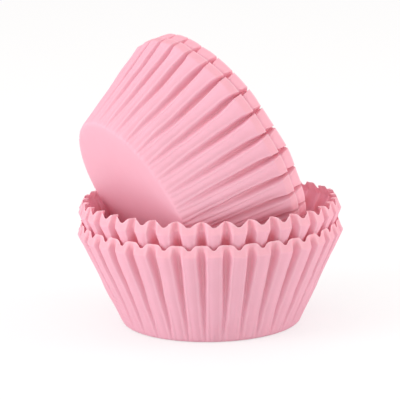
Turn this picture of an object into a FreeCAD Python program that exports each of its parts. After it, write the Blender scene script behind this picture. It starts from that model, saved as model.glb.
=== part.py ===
"""Four paper cupcake liners: an upright nested pair, and a second nested pair tipped into its mouth.

Units are millimetres, +Z is up, and the front of the stack faces -Y.
The origin is the middle of the flat base of the lowest liner, on the surface that it stands on.
"""
import FreeCAD, Part
import math
import os
from collections import namedtuple

# Sizes that all four liners share, because they are cut and pleated alike
base_diameter = 50.8
wall_slant = 29.2        # from the edge of the base up to the crease under the rim, along the paper
lip_slant = 2.1          # from that crease to the cut edge, along the paper
pleat_count = 34
paper_thickness = 0.1
base_edge_cut = 0.7      # the bend between base and wall takes this much off each of them
notch_width = 1.4        # flat bottom of the notch that the cut edge has on each crest

# Mouths, measured across the crests at the crease: paper gives, so each liner is opened as its place asks
lower_outer_mouth = 75.4
lower_inner_mouth = 74.7
tilted_outer_mouth = 70.8
tilted_inner_mouth = 69.5

# How far the cut edge leans in over the crease, in the middle of a crest
lower_lip_lean = 1.1
tilted_lip_lean = 0.4    # the liner pressed into it holds this rim open

# The rest of the cut edge follows that lean
shoulder_lean_ratio = 1.35
groove_lean_ratio = 0.65
edge_rise_ratio = 1.15   # shoulders and grooves stand higher than the notch

# How much of one pleat is flat crest, and how much is groove floor, at three heights of the wall
foot_shares = (0.86, 0.04)
middle_shares = (0.70, 0.12)
crease_shares = (0.60, 0.20)

# Places: one liner in the next, and the tilted pair in the mouth of the lower pair
seat_gap = 0.2           # clear paper-to-paper distance where one liner rests on another
lower_turn = -4.0        # degrees about the upright axis, the same for both lower liners, so pleats line up
tilted_heading = 30.0    # degrees from +X towards +Y, the way the tilted mouths point
tilted_climb = 26.6      # degrees that the tilted axis rises above level
tilted_turn = 74.8       # degrees about the tilted axis
tilted_middle_x = -9.4   # where the tilted outer liner's middle stands, off the axis of the lower pair
tilted_middle_y = -4.8
seat_sample_step = 0.5   # spacing of the points that are tried when the tilted pair is lowered to its seat

base_radius = base_diameter / 2

# A corner of half a pleat: distance sideways from the middle of the crest or groove, radius and height
Corner = namedtuple("Corner", "half radius height")

# One level of a liner: its crest corners from the middle outwards, and its groove corner
Level = namedtuple("Level", "crest groove")


def pleat_section(crest_radius, slant, shares):
    """Half widths and depth of a pleat: the blank's length of arc has to fit into the pleat."""
    pitch = 2 * math.pi * crest_radius / pleat_count
    paper_length = 2 * math.pi * (base_radius + slant) / pleat_count
    crest = shares[0] * pitch
    groove = shares[1] * pitch
    flank_run = (pitch - crest - groove) / 2
    flank_length = flank_run + (paper_length - pitch) / 2
    depth = math.sqrt(max(0.0, flank_length ** 2 - flank_run ** 2))
    return crest / 2, groove / 2, depth


def wall_height(slant, radius):
    """Height of a point of the wall: paper doesn't stretch, so a groove stands higher than a crest."""
    return math.sqrt(slant ** 2 - (radius - base_radius) ** 2)


def outside_levels(mouth_diameter, lip_lean):
    """The levels of the outside of a liner, from the edge of its flat base up to its cut edge."""
    mouth_radius = mouth_diameter / 2
    flare = (mouth_radius - base_radius) / wall_slant
    crest_half, groove_half, depth = pleat_section(base_radius, base_edge_cut, foot_shares)
    flat_radius = base_radius - base_edge_cut
    levels = [Level([Corner(crest_half, flat_radius, 0.0)], Corner(groove_half, flat_radius, 0.0))]
    wall = ((base_edge_cut, foot_shares), (wall_slant / 2, middle_shares), (wall_slant, crease_shares))
    for slant, shares in wall:
        radius = base_radius + slant * flare
        crest_half, groove_half, depth = pleat_section(radius, slant, shares)
        levels.append(Level([Corner(crest_half, radius, wall_height(slant, radius))],
                            Corner(groove_half, radius - depth, wall_height(slant, radius - depth))))
    crease = levels[-1]
    notch_height = crease.crest[0].height + math.sqrt(lip_slant ** 2 - lip_lean ** 2)
    edge_height = notch_height + edge_rise_ratio * lip_lean
    notch = Corner(notch_width / 2, mouth_radius - lip_lean, notch_height)
    shoulder = Corner(crease.crest[0].half + seat_gap, mouth_radius - shoulder_lean_ratio * lip_lean,
                      edge_height)
    groove = Corner(crease.groove.half, crease.groove.radius - groove_lean_ratio * lip_lean, edge_height)
    levels.append(Level([notch, shoulder], groove))
    return levels


def offset_line(points, distance):
    """A line of (radius, height) points that starts as a flat base, moved inwards by a distance."""
    moved = []
    before = (1.0, 0.0)
    for index, (radius, height) in enumerate(points):
        if index + 1 < len(points):
            run = points[index + 1][0] - radius
            climb = points[index + 1][1] - height
            length = math.hypot(run, climb)
            after = (run / length, climb / length)
        else:
            after = before
        middle = (before[0] + after[0], before[1] + after[1])
        size = math.hypot(*middle)
        reach = distance / (size / 2)
        moved.append((radius - reach * middle[1] / size, height + reach * middle[0] / size))
        before = after
    return moved


def inside_levels(levels):
    """The levels of the inside of a liner, one paper thickness in from its outside."""
    crest_line = [(level.crest[0].radius, level.crest[0].height) for level in levels]
    groove_line = [(level.groove.radius, level.groove.height) for level in levels]
    crests = offset_line(crest_line, paper_thickness)
    grooves = offset_line(groove_line, paper_thickness)
    crease = levels[-2].crest[0]
    inside = []
    for level, crest_place, groove_place in zip(levels, crests, grooves):
        places = [crest_place]
        if len(level.crest) > 1:
            shoulder = level.crest[1]
            places += offset_line([(crease.radius, crease.height), (shoulder.radius, shoulder.height)],
                                  paper_thickness)[1:]
        half_pitch = math.pi * level.crest[-1].radius / pleat_count
        flank_run = half_pitch - level.crest[-1].half - level.groove.half
        turn = math.atan2(level.crest[-1].radius - level.groove.radius, flank_run)
        shift = paper_thickness * math.tan(turn / 2)
        halves = [corner.half for corner in level.crest]
        halves[-1] -= shift
        inside.append(Level([Corner(half, *place) for half, place in zip(halves, places)],
                            Corner(level.groove.half + shift, *groove_place)))
    return inside


def level_points(level):
    """All corners of one level, in order round the liner: each pleat's crest, then its groove."""
    step = 2 * math.pi / pleat_count
    points = []
    for pleat in range(pleat_count):
        crest_angle = pleat * step
        groove_angle = (pleat + 0.5) * step
        places = [(-corner.half, corner, crest_angle) for corner in reversed(level.crest)]
        places += [(corner.half, corner, crest_angle) for corner in level.crest]
        places += [(side * level.groove.half, level.groove, groove_angle) for side in (-1, 1)]
        for side, corner, angle in places:
            points.append(FreeCAD.Vector(corner.radius * math.cos(angle) - side * math.sin(angle),
                                         corner.radius * math.sin(angle) + side * math.cos(angle),
                                         corner.height))
    return points


def polygon_face(*corners):
    return Part.Face(Part.makePolygon(list(corners) + [corners[0]]))


def folded_faces(corner_a, corner_b, corner_c, corner_d):
    """A four-cornered face that isn't flat, folded from its first corner to its third."""
    return [polygon_face(corner_a, corner_b, corner_c), polygon_face(corner_a, corner_c, corner_d)]


def wall_faces(lower, upper):
    """Faces between two levels of the wall: crests and grooves are flat, the flanks between them folded."""
    faces = []
    count = len(lower)
    for index in range(count):
        following = (index + 1) % count
        corners = (lower[index], lower[following], upper[following], upper[index])
        if index % 2 == 0:
            faces.append(polygon_face(*corners))
        else:
            faces += folded_faces(*corners)
    return faces


def lip_faces(crease, edge):
    """Faces from the crease to the cut edge, which has a notch and two shoulders on each crest."""
    faces = []
    for pleat in range(pleat_count):
        crest_a, crest_b, groove_a, groove_b = crease[4 * pleat:4 * pleat + 4]
        next_crest = crease[(4 * pleat + 4) % len(crease)]
        shoulder_a, notch_a, notch_b, shoulder_b, lobe_a, lobe_b = edge[6 * pleat:6 * pleat + 6]
        next_shoulder = edge[(6 * pleat + 6) % len(edge)]
        faces.append(polygon_face(crest_a, crest_b, notch_b, notch_a))
        faces.append(polygon_face(crest_a, notch_a, shoulder_a))
        faces.append(polygon_face(crest_b, shoulder_b, notch_b))
        faces += folded_faces(crest_b, groove_a, lobe_a, shoulder_b)
        faces.append(polygon_face(groove_a, groove_b, lobe_b, lobe_a))
        faces += folded_faces(groove_b, next_crest, next_shoulder, lobe_b)
    return faces


def cut_edge_faces(outside, inside):
    """The narrow faces of the cut edge, across the thickness of the paper."""
    faces = []
    count = len(outside)
    for index in range(count):
        following = (index + 1) % count
        faces += folded_faces(outside[index], outside[following], inside[following], inside[index])
    return faces


def liner_solid(levels):
    """One liner as a closed shell of paper, upright, with its base on the origin."""
    outside = [level_points(level) for level in levels]
    inside = [level_points(level) for level in inside_levels(levels)]
    faces = [polygon_face(*outside[0]), polygon_face(*inside[0])]
    for surface in (outside, inside):
        for lower, upper in zip(surface[:-2], surface[1:-1]):
            faces += wall_faces(lower, upper)
        faces += lip_faces(surface[-2], surface[-1])
    faces += cut_edge_faces(outside[-1], inside[-1])
    shell = Part.makeShell(faces)
    shell.sewShape()
    solid = Part.makeSolid(shell)
    if solid.Volume < 0:
        solid.reverse()
    return solid


def height_at_radius(line, radius):
    """Lowest height at which a line of corners reaches a radius, or None if it never does."""
    for below, above in zip(line, line[1:]):
        if below.radius <= radius <= above.radius:
            share = (radius - below.radius) / (above.radius - below.radius)
            return below.height + (above.height - below.height) * share
    return None


def nest_raise(outer, inner):
    """How far up the inner liner stops in the outer one: on the outer's cut edge, or else wall on wall."""
    edge = inside_levels(outer)[-1]
    flare = math.asin((inner[-2].crest[0].radius - base_radius) / wall_slant)
    raises = [(paper_thickness + seat_gap) / math.sin(flare)]
    crest_line = [level.crest[0] for level in inner]
    groove_line = [level.groove for level in inner]
    for line, stop in [(crest_line, corner) for corner in edge.crest] + [(groove_line, edge.groove)]:
        height = height_at_radius(line, stop.radius - seat_gap)
        if height is not None:
            raises.append(stop.height - height)
    return max(raises)


def half_pleat(points):
    """Angle, radius and height of the corners from the middle of a crest to the middle of a groove."""
    per_pleat = len(points) // pleat_count
    corners = points[(per_pleat - 2) // 2:per_pleat - 1]
    return [(math.atan2(point.y, point.x), math.hypot(point.x, point.y), point.z) for point in corners]


def on_half_pleat(corners, angle):
    """Radius and height of a level in one direction, given within half a pleat."""
    for (angle_a, radius_a, height_a), (angle_b, radius_b, height_b) in zip(corners, corners[1:]):
        if angle < angle_b:
            share = max(0.0, (angle - angle_a) / (angle_b - angle_a))
            return radius_a + (radius_b - radius_a) * share, height_a + (height_b - height_a) * share
    return corners[-1][1:]


def cavity_radius(half_pleats, angle, height):
    """Radius of the inside of an upright liner in one direction and at one height: 0 under its base."""
    step = 2 * math.pi / pleat_count
    folded_angle = abs((angle / step + 0.5) % 1.0 - 0.5) * step
    last_radius, last_height = on_half_pleat(half_pleats[0], folded_angle)
    if height < last_height:
        return 0.0
    for corners in half_pleats[1:]:
        radius, level_height = on_half_pleat(corners, folded_angle)
        if height <= level_height:
            share = (height - last_height) / (level_height - last_height)
            return last_radius + (radius - last_radius) * share
        last_radius = radius
        last_height = level_height
    return math.inf


def surface_samples(levels):
    """Points spread over the outside wall of a liner, no further apart than the sample step."""
    rings = [level_points(level) for level in levels[:-1]]
    edge = level_points(levels[-1])
    rings.append([point for index, point in enumerate(edge) if index % 6 not in (1, 2)])
    samples = list(edge)
    for lower, upper in zip(rings, rings[1:]):
        climb_steps = max(1, math.ceil((upper[0] - lower[0]).Length / seat_sample_step))
        for index in range(len(lower)):
            following = (index + 1) % len(lower)
            side_steps = max(1, math.ceil((upper[following] - upper[index]).Length / seat_sample_step))
            for side in range(side_steps):
                share = side / side_steps
                low = lower[index] + (lower[following] - lower[index]) * share
                high = upper[index] + (upper[following] - upper[index]) * share
                for number in range(climb_steps + 1):
                    samples.append(low + (high - low) * (number / climb_steps))
    return samples


def seat_height(samples, levels, turn):
    """How far placed samples are lifted until they clear the inside of an upright liner."""
    half_pleats = [half_pleat(level_points(level)) for level in levels]
    polar = []
    for point in samples:
        polar.append((math.atan2(point.y, point.x) - turn, math.hypot(point.x, point.y), point.z))
    top = levels[-1].groove.height

    def clear(lift):
        for angle, radius, height in polar:
            lifted = height + lift
            if lifted <= top and radius + seat_gap > cavity_radius(half_pleats, angle, lifted):
                return False
        return True

    low = -min(height for angle, radius, height in polar)
    high = low + top + seat_gap
    while high - low > seat_gap / 10:
        middle = (low + high) / 2
        if clear(middle):
            high = middle
        else:
            low = middle
    return high


def tilted_rotation():
    """Turns an upright liner so that its axis points along the heading and climb of the tilted pair."""
    heading = math.radians(tilted_heading)
    climb = math.radians(tilted_climb)
    turn = math.radians(tilted_turn)
    level_way = FreeCAD.Vector(math.cos(heading), math.sin(heading), 0)
    level_side = FreeCAD.Vector(-math.sin(heading), math.cos(heading), 0)
    axis = level_way * math.cos(climb) + FreeCAD.Vector(0, 0, 1) * math.sin(climb)
    steep_side = axis.cross(level_side)
    pleat_side = level_side * math.cos(turn) + steep_side * math.sin(turn)
    return FreeCAD.Rotation(pleat_side, axis.cross(pleat_side), axis, "ZXY")


def placed(solid, position, rotation):
    moved = solid.copy()
    moved.Placement = FreeCAD.Placement(position, rotation)
    return moved


def build_nodes():
    lower_outer = outside_levels(lower_outer_mouth, lower_lip_lean)
    lower_inner = outside_levels(lower_inner_mouth, lower_lip_lean)
    tilted_outer = outside_levels(tilted_outer_mouth, tilted_lip_lean)
    tilted_inner = outside_levels(tilted_inner_mouth, tilted_lip_lean)
    lower_raise = nest_raise(lower_outer, lower_inner)
    tilted_raise = nest_raise(tilted_outer, tilted_inner)

    upright = FreeCAD.Rotation(FreeCAD.Vector(0, 0, 1), lower_turn)
    up = FreeCAD.Vector(0, 0, 1)
    rotation = tilted_rotation()
    axis = rotation.multVec(up)
    half_height = tilted_outer[-1].crest[0].height / 2
    start = FreeCAD.Vector(tilted_middle_x, tilted_middle_y, 0) - axis * half_height
    samples = surface_samples(tilted_outer)
    samples += [point + up * tilted_raise for point in surface_samples(tilted_inner)]
    lift = seat_height([start + rotation.multVec(point) for point in samples], inside_levels(lower_inner),
                       math.radians(lower_turn))
    tilted_place = start + up * (lower_raise + lift)

    print("lower nest raised %.2f, tilted nest raised %.2f, tilted base at %.2f %.2f %.2f"
          % (lower_raise, tilted_raise, tilted_place.x, tilted_place.y, tilted_place.z))
    nested_place = tilted_place + axis * tilted_raise
    return {
        "lower_outer_liner": placed(liner_solid(lower_outer), FreeCAD.Vector(), upright),
        "lower_inner_liner": placed(liner_solid(lower_inner), up * lower_raise, upright),
        "tilted_outer_liner": placed(liner_solid(tilted_outer), tilted_place, rotation),
        "tilted_inner_liner": placed(liner_solid(tilted_inner), nested_place, rotation),
    }


os.makedirs("parts", exist_ok=True)
for name, solid in build_nodes().items():
    solid.exportStep("parts/" + name + ".step")
    print(name, "valid", solid.isValid(), "volume", round(solid.Volume, 1), "faces", len(solid.Faces))
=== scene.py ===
"""The looks of four pleated paper cupcake liners: a nested pair, and a second pair tipped into its mouth."""
import bpy
import math
from mathutils import Matrix, Vector


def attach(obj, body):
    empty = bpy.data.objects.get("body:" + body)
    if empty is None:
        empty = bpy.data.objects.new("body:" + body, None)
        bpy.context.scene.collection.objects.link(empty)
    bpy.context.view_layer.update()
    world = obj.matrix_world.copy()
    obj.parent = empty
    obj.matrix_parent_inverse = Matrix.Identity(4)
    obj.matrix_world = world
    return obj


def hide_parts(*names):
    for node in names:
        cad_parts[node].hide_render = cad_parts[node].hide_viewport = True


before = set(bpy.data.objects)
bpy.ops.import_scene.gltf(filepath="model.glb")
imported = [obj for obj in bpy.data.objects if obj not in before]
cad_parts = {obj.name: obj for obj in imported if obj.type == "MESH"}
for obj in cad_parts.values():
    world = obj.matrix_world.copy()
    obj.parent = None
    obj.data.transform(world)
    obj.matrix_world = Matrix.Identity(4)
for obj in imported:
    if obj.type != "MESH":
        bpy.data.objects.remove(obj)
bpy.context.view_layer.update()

MM = 0.001

# Sizes of one liner, in millimetres
PLEATS = 34
BASE_RADIUS = 25.4
WALL_SLANT = 29.2
LIP_SLANT = 2.1
PAPER = 0.1
NOTCH_HALF = 0.5
LOBE_START = 2.1
SHOULDER_LEAN_RATIO = 1.35
OUTER_LOBE_OPENING = 1.15    # the lip's move outwards over each groove, from the groove's floor
INNER_LOBE_OPENING = -0.7
EDGE_RISE = 0.15         # the lobes stand this much above the shoulders' own rise
EDGE_RISE_RATIO = 1.15

# How much of a pleat is crest and how much is groove floor, at places along the wall in millimetres
LOWER_OUTER_SHARES = ((0.7, 0.70, 0.03), (14.6, 0.64, 0.08), (29.2, 0.58, 0.18))
LOWER_INNER_SHARES = ((0.7, 0.70, 0.03), (14.6, 0.64, 0.08), (24.5, 0.40, 0.14), (29.2, 0.58, 0.18))
TILTED_OUTER_SHARES = ((0.7, 0.70, 0.03), (6.0, 0.60, 0.09), (20.0, 0.57, 0.13), (27.0, 0.64, 0.11),
                       (29.2, 0.78, 0.06), (31.3, 0.88, 0.03))
TILTED_INNER_SHARES = ((0.7, 0.70, 0.03), (6.0, 0.60, 0.09), (20.0, 0.57, 0.13), (28.0, 0.64, 0.11),
                       (31.3, 0.88, 0.03))
CREST_ROUND = 0.62       # how far before a fold the crest starts to bend
LOWER_CROWN = 0.30       # how much the middle of a crest stands out
TILTED_CROWN = 0.42
EDGE_LEAN = 0.4          # how far the tilted liners' straight cut edge leans in
UNEVEN = 0.7             # the strength of the paper's slight unevenness, and the size of its patches
UNEVEN_PATCH = 10.0

# Rows of the mesh: flat circles in the base, distances along the wall, and shares of the lip
FLAT_ROWS = (22.6, 24.6)
WALL_ROWS = (0.5, 1.3, 2.8, 5.2, 8.4, 12.2, 16.2, 20.2, 24.0, 27.0, 28.6, 29.2)
LIP_ROWS = (0.14, 0.5, 1.0)
EDGE_ROWS = (29.9, 30.7, 31.3)

# The two pairs: where they stand, how they are turned, and how far each inner liner is raised
LOWER_TURN = math.radians(-4.0)
LOWER_RAISE = 6.03
TILTED_HEADING = math.radians(30.0)
TILTED_CLIMB = math.radians(26.6)
TILTED_TURN = math.radians(74.8)
TILTED_PLACE = Vector((-20.82, -11.39, 37.07))
TILTED_RAISE = 2.83

# Place of the ten points across half a pleat: 0 on the crest, 0.5 on the fold, 1 in the groove
ACROSS = (0.0, 0.15, 0.3, 0.42, 0.48, 0.54, 0.6, 0.78, 0.9, 1.0)


class Sum:
    """A number that a shader works out, so that a pattern can be written as arithmetic."""

    def __init__(self, finish, socket):
        self.finish = finish
        self.socket = socket

    def maths(self, operation, *others, clamp=False):
        settings = {"operation": operation, "use_clamp": clamp}
        return self.finish.add("ShaderNodeMath", settings, [self, *others])

    def __add__(self, other):
        return self.maths("ADD", other)

    __radd__ = __add__

    def __mul__(self, other):
        return self.maths("MULTIPLY", other)

    __rmul__ = __mul__

    def __sub__(self, other):
        return self.maths("SUBTRACT", other)

    def __rsub__(self, other):
        return self.finish.add("ShaderNodeMath", {"operation": "SUBTRACT"}, [other, self])

    def held(self):
        return self.maths("ADD", 0.0, clamp=True)

    def step(self, low, high):
        """0 below low, 1 above high, and smooth between them."""
        return self.finish.add("ShaderNodeMapRange", {"interpolation_type": "SMOOTHSTEP"},
                               {"Value": self, "From Min": low, "From Max": high})

    def band(self, centre, width):
        """1 at centre, fading to 0 at width on both sides of it."""
        return 1.0 - (self - centre).maths("ABSOLUTE").step(0.0, width)


class Finish:
    """A material that is being made, and the one way that nodes are added to it."""

    def __init__(self, name):
        self.material = bpy.data.materials.new(name)
        self.material.use_nodes = True
        self.tree = self.material.node_tree
        self.tree.nodes.clear()

    def plug(self, socket, value):
        if isinstance(value, Sum):
            self.tree.links.new(value.socket, socket)
        else:
            socket.default_value = value

    def add(self, kind, settings=None, inputs=(), output=0):
        node = self.tree.nodes.new(kind)
        for key, value in (settings or {}).items():
            setattr(node, key, value)
        pairs = inputs.items() if isinstance(inputs, dict) else enumerate(inputs)
        for key, value in pairs:
            self.plug(node.inputs[key], value)
        return Sum(self, node.outputs[output])

    def tint(self, share, colour_a, colour_b, way="MIX"):
        node = self.tree.nodes.new("ShaderNodeMix")
        node.data_type = "RGBA"
        node.blend_type = way
        wanted = {"Factor_Float": share, "A_Color": colour_a, "B_Color": colour_b}
        for socket in node.inputs:
            if socket.identifier in wanted:
                self.plug(socket, wanted[socket.identifier])
        result = [s for s in node.outputs if s.identifier == "Result_Color"][0]
        return Sum(self, result)

    def done(self, shader):
        output = self.tree.nodes.new("ShaderNodeOutputMaterial")
        self.tree.links.new(shader.socket, output.inputs["Surface"])
        return self.material


def pink_paper(name, pocket_shade_start, pocket_shade_end, pocket_shade_share):
    """Thin pale pink baking paper: mottled, with painted highlights on the folds and cut edge, and painted
    shade in the grooves, the pockets and on the lip.
    """
    paper = Finish(name)
    place = paper.add("ShaderNodeTexCoord", output=3)
    across = paper.add("ShaderNodeAttribute", {"attribute_name": "across"}, output=2)
    along = paper.add("ShaderNodeAttribute", {"attribute_name": "along"}, output=2)

    mottle = paper.add("ShaderNodeTexNoise", inputs={"Vector": place, "Scale": 260.0, "Detail": 4.0,
                                                     "Roughness": 0.6})
    cloud = paper.add("ShaderNodeTexNoise", inputs={"Vector": place, "Scale": 45.0, "Detail": 2.0})
    fibre = paper.add("ShaderNodeTexNoise", inputs={"Vector": place, "Scale": 1400.0, "Detail": 3.0,
                                                    "Roughness": 0.65, "Distortion": 0.8})

    cut = WALL_SLANT + LIP_SLANT
    on_wall = along.step(0.5, 3.0)
    fold_highlight = across.band(0.5, 0.07) * on_wall
    groove_shade = across.step(0.6, 0.95) * along.step(2.0, 22.0)
    pocket_shade = across.step(0.55, 0.8) * along.step(pocket_shade_start, pocket_shade_start + 2.5)
    pocket_shade = pocket_shade * (1.0 - along.step(pocket_shade_end - 2.5, pocket_shade_end))
    cut_edge_highlight = along.step(cut - 0.45, cut - 0.1)
    lip = along.step(WALL_SLANT - 0.25, WALL_SLANT + 0.25)

    patches = (mottle * 0.5 + cloud * 0.5).step(0.25, 0.75)
    colour = paper.tint(patches, (0.93, 0.585, 0.695, 1), (0.955, 0.625, 0.74, 1))
    # painted shade: the grooves are tinted a deeper red, more so higher up the wall, standing in for the
    # shade deep in the folds
    colour = paper.tint(groove_shade * 0.3, colour, (0.94, 0.46, 0.53, 1))
    # painted shade: a dark red in the grooves within a band along the wall, standing in for the dark crevices
    # where one liner sits inside another
    colour = paper.tint(pocket_shade * pocket_shade_share, colour, (0.84, 0.28, 0.33, 1))
    # painted light and shade: the lip band is tinted a darker, warmer peach, standing in for how light falls
    # on the inward-leaning lip
    colour = paper.tint(lip * 0.5, colour, (0.93, 0.56, 0.62, 1))
    # painted highlight: a paler line along each fold, where the crease catches the light
    colour = paper.tint(fold_highlight * 0.25, colour, (0.98, 0.74, 0.82, 1))
    # painted highlight: a paler band along the cut edge, where the thin paper edge catches the light
    colour = paper.tint(cut_edge_highlight * 0.5, colour, (0.98, 0.80, 0.85, 1))

    relief = fibre * 0.35 + mottle * 0.65
    bump = paper.add("ShaderNodeBump", inputs={"Height": relief, "Strength": 0.22, "Distance": 0.00012})
    dull = (mottle * 0.2 + 0.52).held()
    face = paper.add("ShaderNodeBsdfPrincipled", inputs={
        "Base Color": colour, "Roughness": dull, "Specular IOR Level": 0.3, "Normal": bump})
    through = paper.add("ShaderNodeBsdfTranslucent", inputs={"Color": (1.0, 0.62, 0.68, 1)})
    return paper.done(paper.add("ShaderNodeMixShader", inputs=[0.42, face, through]))


def select_none():
    if bpy.context.object and bpy.context.object.mode == "EDIT":
        bpy.ops.object.mode_set(mode="OBJECT")
    bpy.ops.object.select_all(action="DESELECT")


def shares_at(slant, shares):
    """How much of a pleat is flat crest and how much is groove floor, at one height of the wall."""
    for (low, *start), (high, *end) in zip(shares, shares[1:]):
        if slant <= high:
            break
    share = min(1.0, max(0.0, slant - low) / (high - low))
    return [a + (b - a) * share for a, b in zip(start, end)]


def wall_height(slant, radius):
    return math.sqrt(max(0.0, slant ** 2 - (radius - BASE_RADIUS) ** 2))


def beside_groove(side, radius, height):
    """A point beside the middle of the groove, as outwards, sideways and up from the crest's middle."""
    angle = math.pi / PLEATS
    return Vector((radius * math.cos(angle) + side * math.sin(angle),
                   radius * math.sin(angle) - side * math.cos(angle), height))


def bend(before, corner, after, share):
    """A point of the arc that rounds a corner, from before it to after it."""
    return before.lerp(corner, share).lerp(corner.lerp(after, share), share)


def rounded_pleat(middle, edge, corner, floor, crown_rise):
    """Ten points from the middle of a crest to the middle of a groove, with the folds rounded."""
    down = corner - edge
    soft = min(CREST_ROUND, 0.22 + abs(down.y))
    before = edge.lerp(middle, min(0.45, soft / (edge - middle).length))
    after = edge.lerp(corner, min(0.5, 1.6 * soft / down.length))
    deep = edge.lerp(corner, 0.78)
    crown = Vector((crown_rise, 0.0, 0.0)) * min(1.0, down.length, 1.6 * soft)
    points = [middle, middle.lerp(before, 0.4), middle.lerp(before, 0.8), before]
    for point, share in zip(points, (0.0, 0.16, 0.64, 1.0)):
        point -= crown * share
    points += [bend(before, edge, after, 0.3), bend(before, edge, after, 0.62), after]
    points += [deep, bend(deep, corner, floor, 0.5), floor]
    return points


def flat_row(radius):
    """A row in the flat base: all its points lie on one circle."""
    angles = [share * math.pi / PLEATS for share in (0.0, 0.2, 0.4, 0.52, 0.62, 0.7, 0.78, 0.86, 0.93, 1.0)]
    return [Vector((radius * math.cos(a), radius * math.sin(a), 0.0)) for a in angles]


def wall_corners(mouth_radius, slant, shares):
    """The corners of half a pleat: the blank's arc has to fit into the pleat, so it folds deeper."""
    slope = (mouth_radius - BASE_RADIUS) / WALL_SLANT
    over = max(0.0, slant - WALL_SLANT)
    radius = BASE_RADIUS + (slant - over) * slope - EDGE_LEAN * over / LIP_SLANT
    pitch = 2 * math.pi * radius / PLEATS
    blank_arc = 2 * math.pi * (BASE_RADIUS + slant) / PLEATS
    crest_share, groove_share = shares_at(slant, shares)
    flank_run = (1 - crest_share - groove_share) * pitch / 2
    flank_length = flank_run + (blank_arc - pitch) / 2
    depth = math.sqrt(max(0.0, flank_length ** 2 - flank_run ** 2))
    height = wall_height(slant, radius)
    deep = wall_height(slant, radius - depth)
    if over:
        deep = (deep + height) / 2
    return [Vector((radius, 0.0, height)), Vector((radius, crest_share * pitch / 2, height)),
            beside_groove(groove_share * pitch / 2, radius - depth, deep),
            beside_groove(0.0, radius - depth, deep)]


def lip_points(mouth_radius, shares, lean, fullness, opening, share):
    """The points between the crease (share 0) and the cut edge (share 1), where the notches and lobes are."""
    crease = wall_corners(mouth_radius, WALL_SLANT, shares)
    folded = rounded_pleat(*[corner.copy() for corner in crease], LOWER_CROWN)
    notch_radius = mouth_radius - lean
    notch_height = crease[0].z + math.sqrt(LIP_SLANT ** 2 - lean ** 2)
    lobe_radius = mouth_radius - SHOULDER_LEAN_RATIO * lean
    lobe_height = notch_height + EDGE_RISE_RATIO * lean + EDGE_RISE
    deep_radius = math.hypot(crease[3].x, crease[3].y) + opening
    half_pitch = math.pi * lobe_radius / PLEATS
    cut = []
    # sideways place, then rise of a straight and of a full lobe, as shares of the lobe's height
    for side, straight, full in ((0.0, 0.0, 0.0), (NOTCH_HALF * 0.8, 0.0, 0.0),
                                 (NOTCH_HALF * 1.35, 0.12, 0.22),
                                 (1.12, 0.4, 0.62), (1.62, 0.73, 0.88), (LOBE_START, 0.96, 0.98)):
        rise = straight + (full - straight) * fullness
        lean_in = notch_radius + (lobe_radius - notch_radius) * rise
        cut.append(Vector((lean_in, side, notch_height + (lobe_height - notch_height) * rise)))
    for part, depth_share in ((0.72, 0.12), (0.45, 0.55), (0.22, 0.88), (0.0, 1.0)):
        cut.append(beside_groove((half_pitch - LOBE_START) * part,
                                 lobe_radius + (deep_radius - lobe_radius) * depth_share, lobe_height))
    return [low.lerp(high, share) for low, high in zip(folded, cut)]


def liner_rows(mouth_radius, shares, crown, lobes):
    """Every row of a pleat with its distance along the paper, from inside the base up to the cut edge."""
    rows = [(radius - BASE_RADIUS, flat_row(radius)) for radius in FLAT_ROWS]
    for slant in WALL_ROWS if lobes else WALL_ROWS + EDGE_ROWS:
        rows.append((slant, rounded_pleat(*wall_corners(mouth_radius, slant, shares), crown)))
    for share in LIP_ROWS if lobes else ():
        rows.append((WALL_SLANT + LIP_SLANT * share, lip_points(mouth_radius, shares, *lobes, share)))
    # the paper bends softly from base to wall
    for point in rows[len(FLAT_ROWS)][1]:
        point.x -= 0.16
        point.z *= 0.45
    return rows


def set_row(strip, numbers, row):
    """Slides each vertex of a row of the strip to its place."""
    half = [point * MM for point in row]
    places = [Vector((p.x, -p.y, p.z)) for p in reversed(half[1:])] + half
    for number, place in zip(numbers, places):
        bpy.ops.mesh.select_all(action="DESELECT")
        bpy.ops.object.mode_set(mode="OBJECT")
        vertex = strip.vertices[number]
        vertex.select = True
        shift = place - vertex.co
        bpy.ops.object.mode_set(mode="EDIT")
        bpy.ops.transform.translate(value=shift)


def pleat_strip(name, rows):
    """One pleat from groove to groove: a strip is laid in the base and drawn up the wall, row by row."""
    select_none()
    columns = 2 * len(rows[0][1]) - 1
    bpy.ops.mesh.primitive_grid_add(x_subdivisions=1, y_subdivisions=columns - 1, size=2 * MM)
    liner = bpy.context.object
    liner.name = name
    strip = liner.data
    for name in ("across", "along"):
        strip.attributes.new(name, "FLOAT", "POINT")
    order = sorted(range(len(strip.vertices)), key=lambda n: (strip.vertices[n].co.x, strip.vertices[n].co.y))
    current = order[:columns]
    following = order[columns:]
    shares = [-share for share in reversed(ACROSS[1:])] + list(ACROSS)
    bpy.ops.object.mode_set(mode="EDIT")
    set_row(strip, current, rows[0][1])
    placed = [current]
    for distance, row in rows[1:]:
        if following is None:
            before = set(range(len(strip.vertices)))
            bpy.ops.mesh.select_all(action="DESELECT")
            bpy.ops.object.mode_set(mode="OBJECT")
            for number in placed[-1]:
                strip.vertices[number].select = True
            bpy.ops.object.mode_set(mode="EDIT")
            bpy.ops.mesh.select_mode(type="EDGE")
            bpy.ops.mesh.extrude_edges_move(TRANSFORM_OT_translate={"value": (0, 0, MM)})
            bpy.ops.mesh.select_mode(type="VERT")
            bpy.ops.object.mode_set(mode="OBJECT")
            fresh = [v.index for v in strip.vertices if v.index not in before]
            following = sorted(fresh, key=lambda n: strip.vertices[n].co.y)
            bpy.ops.object.mode_set(mode="EDIT")
        set_row(strip, following, row)
        placed.append(following)
        following = None
    bpy.ops.object.mode_set(mode="OBJECT")
    across = strip.attributes["across"]
    along = strip.attributes["along"]
    for (distance, row), numbers in zip(rows, placed):
        for number, share in zip(numbers, shares):
            across.data[number].value = abs(share)
            along.data[number].value = distance
    return liner


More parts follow.
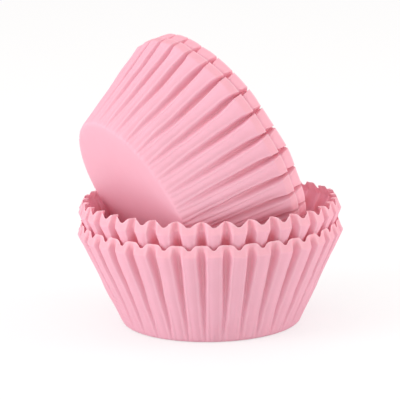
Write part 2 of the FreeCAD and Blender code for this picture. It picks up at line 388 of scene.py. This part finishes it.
def draw_round(liner):
    """Copies the pleat round the liner and joins the copies."""
    bpy.ops.object.mode_set(mode="EDIT")
    bpy.ops.mesh.select_all(action="SELECT")
    bpy.ops.mesh.spin(steps=PLEATS, dupli=True, angle=2 * math.pi, center=(0, 0, 0), axis=(0, 0, 1))
    bpy.ops.mesh.select_all(action="SELECT")
    bpy.ops.mesh.remove_doubles(threshold=0.02 * MM)
    bpy.ops.mesh.normals_make_consistent(inside=False)
    bpy.ops.object.mode_set(mode="OBJECT")


def close_base(liner):
    """Fills the round hole that the pleats leave in the middle of the flat base."""
    select_none()
    liner.select_set(True)
    inner = FLAT_ROWS[0] * MM
    bpy.ops.object.mode_set(mode="EDIT")
    bpy.ops.mesh.select_all(action="DESELECT")
    bpy.ops.object.mode_set(mode="OBJECT")
    rim = [vertex.co.xy.length < inner + 0.02 * MM for vertex in liner.data.vertices]
    for edge in liner.data.edges:
        edge.select = all(rim[number] for number in edge.vertices)
    bpy.ops.object.mode_set(mode="EDIT")
    bpy.ops.mesh.select_mode(type="EDGE")
    bpy.ops.mesh.edge_face_add()
    bpy.ops.mesh.select_all(action="SELECT")
    bpy.ops.mesh.normals_make_consistent(inside=False)
    bpy.ops.mesh.select_mode(type="VERT")
    bpy.ops.object.mode_set(mode="OBJECT")


def finish_paper(liner):
    """Rounds the folds, gives the sheet its thickness and smooths it."""
    soft = liner.modifiers.new("soft folds", "SUBSURF")
    soft.levels = 1
    soft.render_levels = 1
    bpy.ops.object.modifier_apply(modifier="soft folds")
    close_base(liner)
    thick = liner.modifiers.new("paper thickness", "SOLIDIFY")
    thick.thickness = PAPER * MM
    thick.offset = -1
    bpy.ops.object.modifier_apply(modifier="paper thickness")
    bpy.ops.object.shade_smooth_by_angle(angle=math.radians(50))


def set_down(liner, placing):
    """Leaves a finished liner's place in its mesh, with the paper a little uneven."""
    liner.data.transform(placing)
    uneven = bpy.data.textures.new("uneven paper", "CLOUDS")
    uneven.cloud_type = "COLOR"
    uneven.noise_scale = UNEVEN_PATCH * MM
    wall = liner.vertex_groups.new(name="wall")
    for number, distance in enumerate(liner.data.attributes["along"].data):
        wall.add([number], min(1.0, max(0.0, distance.value / 8.0)), "REPLACE")
    handled = liner.modifiers.new("uneven paper", "DISPLACE")
    handled.texture = uneven
    handled.texture_coords = "LOCAL"
    handled.direction = "RGB_TO_XYZ"
    handled.strength = UNEVEN * MM
    handled.mid_level = 0.5
    handled.vertex_group = "wall"
    bpy.ops.object.modifier_apply(modifier="uneven paper")
    liner.vertex_groups.clear()


def tilted_turn():
    """The turn of the tilted pair: where its first crest, its side and its axis point."""
    level_way = Vector((math.cos(TILTED_HEADING), math.sin(TILTED_HEADING), 0.0))
    side = Vector((-math.sin(TILTED_HEADING), math.cos(TILTED_HEADING), 0.0))
    axis = level_way * math.cos(TILTED_CLIMB) + Vector((0, 0, 1)) * math.sin(TILTED_CLIMB)
    steep = axis.cross(side)
    first = side * math.cos(TILTED_TURN) + steep * math.sin(TILTED_TURN)
    return Matrix((first, axis.cross(first), axis)).transposed().to_4x4(), axis


def make_liner(node, mouth_diameter, shares, crown, lobes, placing, paper):
    """One whole liner; lobes is its lip's lean, fullness and opening, or nothing for a plain edge."""
    liner = pleat_strip("paper_" + node, liner_rows(mouth_diameter / 2, shares, crown, lobes))
    draw_round(liner)
    finish_paper(liner)
    set_down(liner, placing)
    liner.data.materials.clear()
    liner.data.materials.append(paper)
    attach(liner, "root")
    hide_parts(node)
    return liner


# Both papers carry painted pocket shade; the second, for the lower inner liner sitting in the outer, carries
# much more of it
open_paper = pink_paper("pink_paper", 15.0, 29.0, 0.1)
pocket_shaded_paper = pink_paper("pink_paper_pocket_shade", 20.5, 28.5, 0.5)
upright = Matrix.Rotation(LOWER_TURN, 4, "Z")
raised = Matrix.Translation((0, 0, LOWER_RAISE * MM))
tilted, tilted_axis = tilted_turn()
outer_place = Matrix.Translation(TILTED_PLACE * MM) @ tilted
inner_place = Matrix.Translation((TILTED_PLACE + tilted_axis * TILTED_RAISE) * MM) @ tilted
make_liner("lower_outer_liner", 75.4, LOWER_OUTER_SHARES, LOWER_CROWN, (1.1, 1.0, OUTER_LOBE_OPENING),
           upright, open_paper)
make_liner("lower_inner_liner", 74.7, LOWER_INNER_SHARES, LOWER_CROWN, (1.1, 0.2, INNER_LOBE_OPENING),
           raised @ upright, pocket_shaded_paper)
make_liner("tilted_outer_liner", 70.8, TILTED_OUTER_SHARES, TILTED_CROWN, None, outer_place, open_paper)
make_liner("tilted_inner_liner", 69.5, TILTED_INNER_SHARES, TILTED_CROWN, None, inner_place, open_paper)


def white_floor():
    """A pale floor that the camera sees as white, with the shadow of the liners left on it."""
    floor = Finish("white_floor")
    path = [floor.add("ShaderNodeLightPath", output=name)
            for name in ("Is Camera Ray", "Is Glossy Ray", "Is Transmission Ray")]
    seen = path[0].maths("MAXIMUM", path[1]).maths("MAXIMUM", path[2])
    matt = floor.add("ShaderNodeBsdfDiffuse", inputs={"Color": (0.92, 0.91, 0.91, 1)})
    bright = floor.add("ShaderNodeEmission", inputs={"Color": (1, 1, 1, 1), "Strength": 1.0})
    return floor.done(floor.add("ShaderNodeMixShader", inputs=[seen * 0.6, matt, bright]))


def build_studio():
    select_none()
    bpy.ops.mesh.primitive_plane_add(size=6.0, location=(0, 0, -0.05 * MM))
    ground = bpy.context.object
    ground.name = "floor"
    ground.data.materials.append(white_floor())

    world = bpy.data.worlds.new("white room")
    bpy.context.scene.world = world
    world.use_nodes = True
    tree = world.node_tree
    tree.nodes.clear()
    path = tree.nodes.new("ShaderNodeLightPath")
    seen = tree.nodes.new("ShaderNodeMath")
    seen.operation = "MAXIMUM"
    tree.links.new(path.outputs["Is Camera Ray"], seen.inputs[0])
    tree.links.new(path.outputs["Is Glossy Ray"], seen.inputs[1])
    soft = tree.nodes.new("ShaderNodeBackground")
    soft.inputs["Color"].default_value = (1.0, 0.98, 0.97, 1)
    soft.inputs["Strength"].default_value = 1.02
    white = tree.nodes.new("ShaderNodeBackground")
    white.inputs["Color"].default_value = (1, 1, 1, 1)
    mix = tree.nodes.new("ShaderNodeMixShader")
    tree.links.new(seen.outputs[0], mix.inputs[0])
    tree.links.new(soft.outputs[0], mix.inputs[1])
    tree.links.new(white.outputs[0], mix.inputs[2])
    output = tree.nodes.new("ShaderNodeOutputWorld")
    tree.links.new(mix.outputs[0], output.inputs["Surface"])

    for name, place, size, power, colour in (("key", (-0.72, -0.32, 0.30), 0.5, 3.3, (0.95, 0.98, 1.0)),
                                             ("fill", (0.80, -0.10, 0.25), 0.5, 2.2, (1.0, 0.97, 0.96))):
        lamp = bpy.data.lights.new(name, "AREA")
        lamp.shape = "DISK"
        lamp.size = size
        lamp.energy = power
        lamp.color = colour
        holder = bpy.data.objects.new(name, lamp)
        bpy.context.scene.collection.objects.link(holder)
        holder.location = place
        holder.rotation_euler = (Vector((0, 0, 0.035)) - Vector(place)).to_track_quat("-Z", "Y").to_euler()


def place_camera():
    """The photograph's view: slightly from above, from far away with a long lens."""
    pitch = 0.197
    roll = -0.0179
    distance = 490.72
    aim = Vector((-2.682, 0.0, 34.824))
    forward = Vector((0.0, math.cos(pitch), -math.sin(pitch)))
    camera = bpy.data.cameras.new("camera")
    camera.sensor_width = 36.0
    camera.lens = 1728.42 * 36.0 / 400
    camera.clip_start = 0.01
    camera.clip_end = 20.0
    holder = bpy.data.objects.new("camera", camera)
    bpy.context.scene.collection.objects.link(holder)
    holder.matrix_world = (Matrix.Translation((aim - forward * distance) * MM)
                           @ Matrix.Rotation(math.pi / 2 - pitch, 4, "X") @ Matrix.Rotation(roll, 4, "Z"))
    bpy.context.scene.camera = holder


build_studio()
place_camera()
bpy.context.scene.view_settings.view_transform = "Standard"
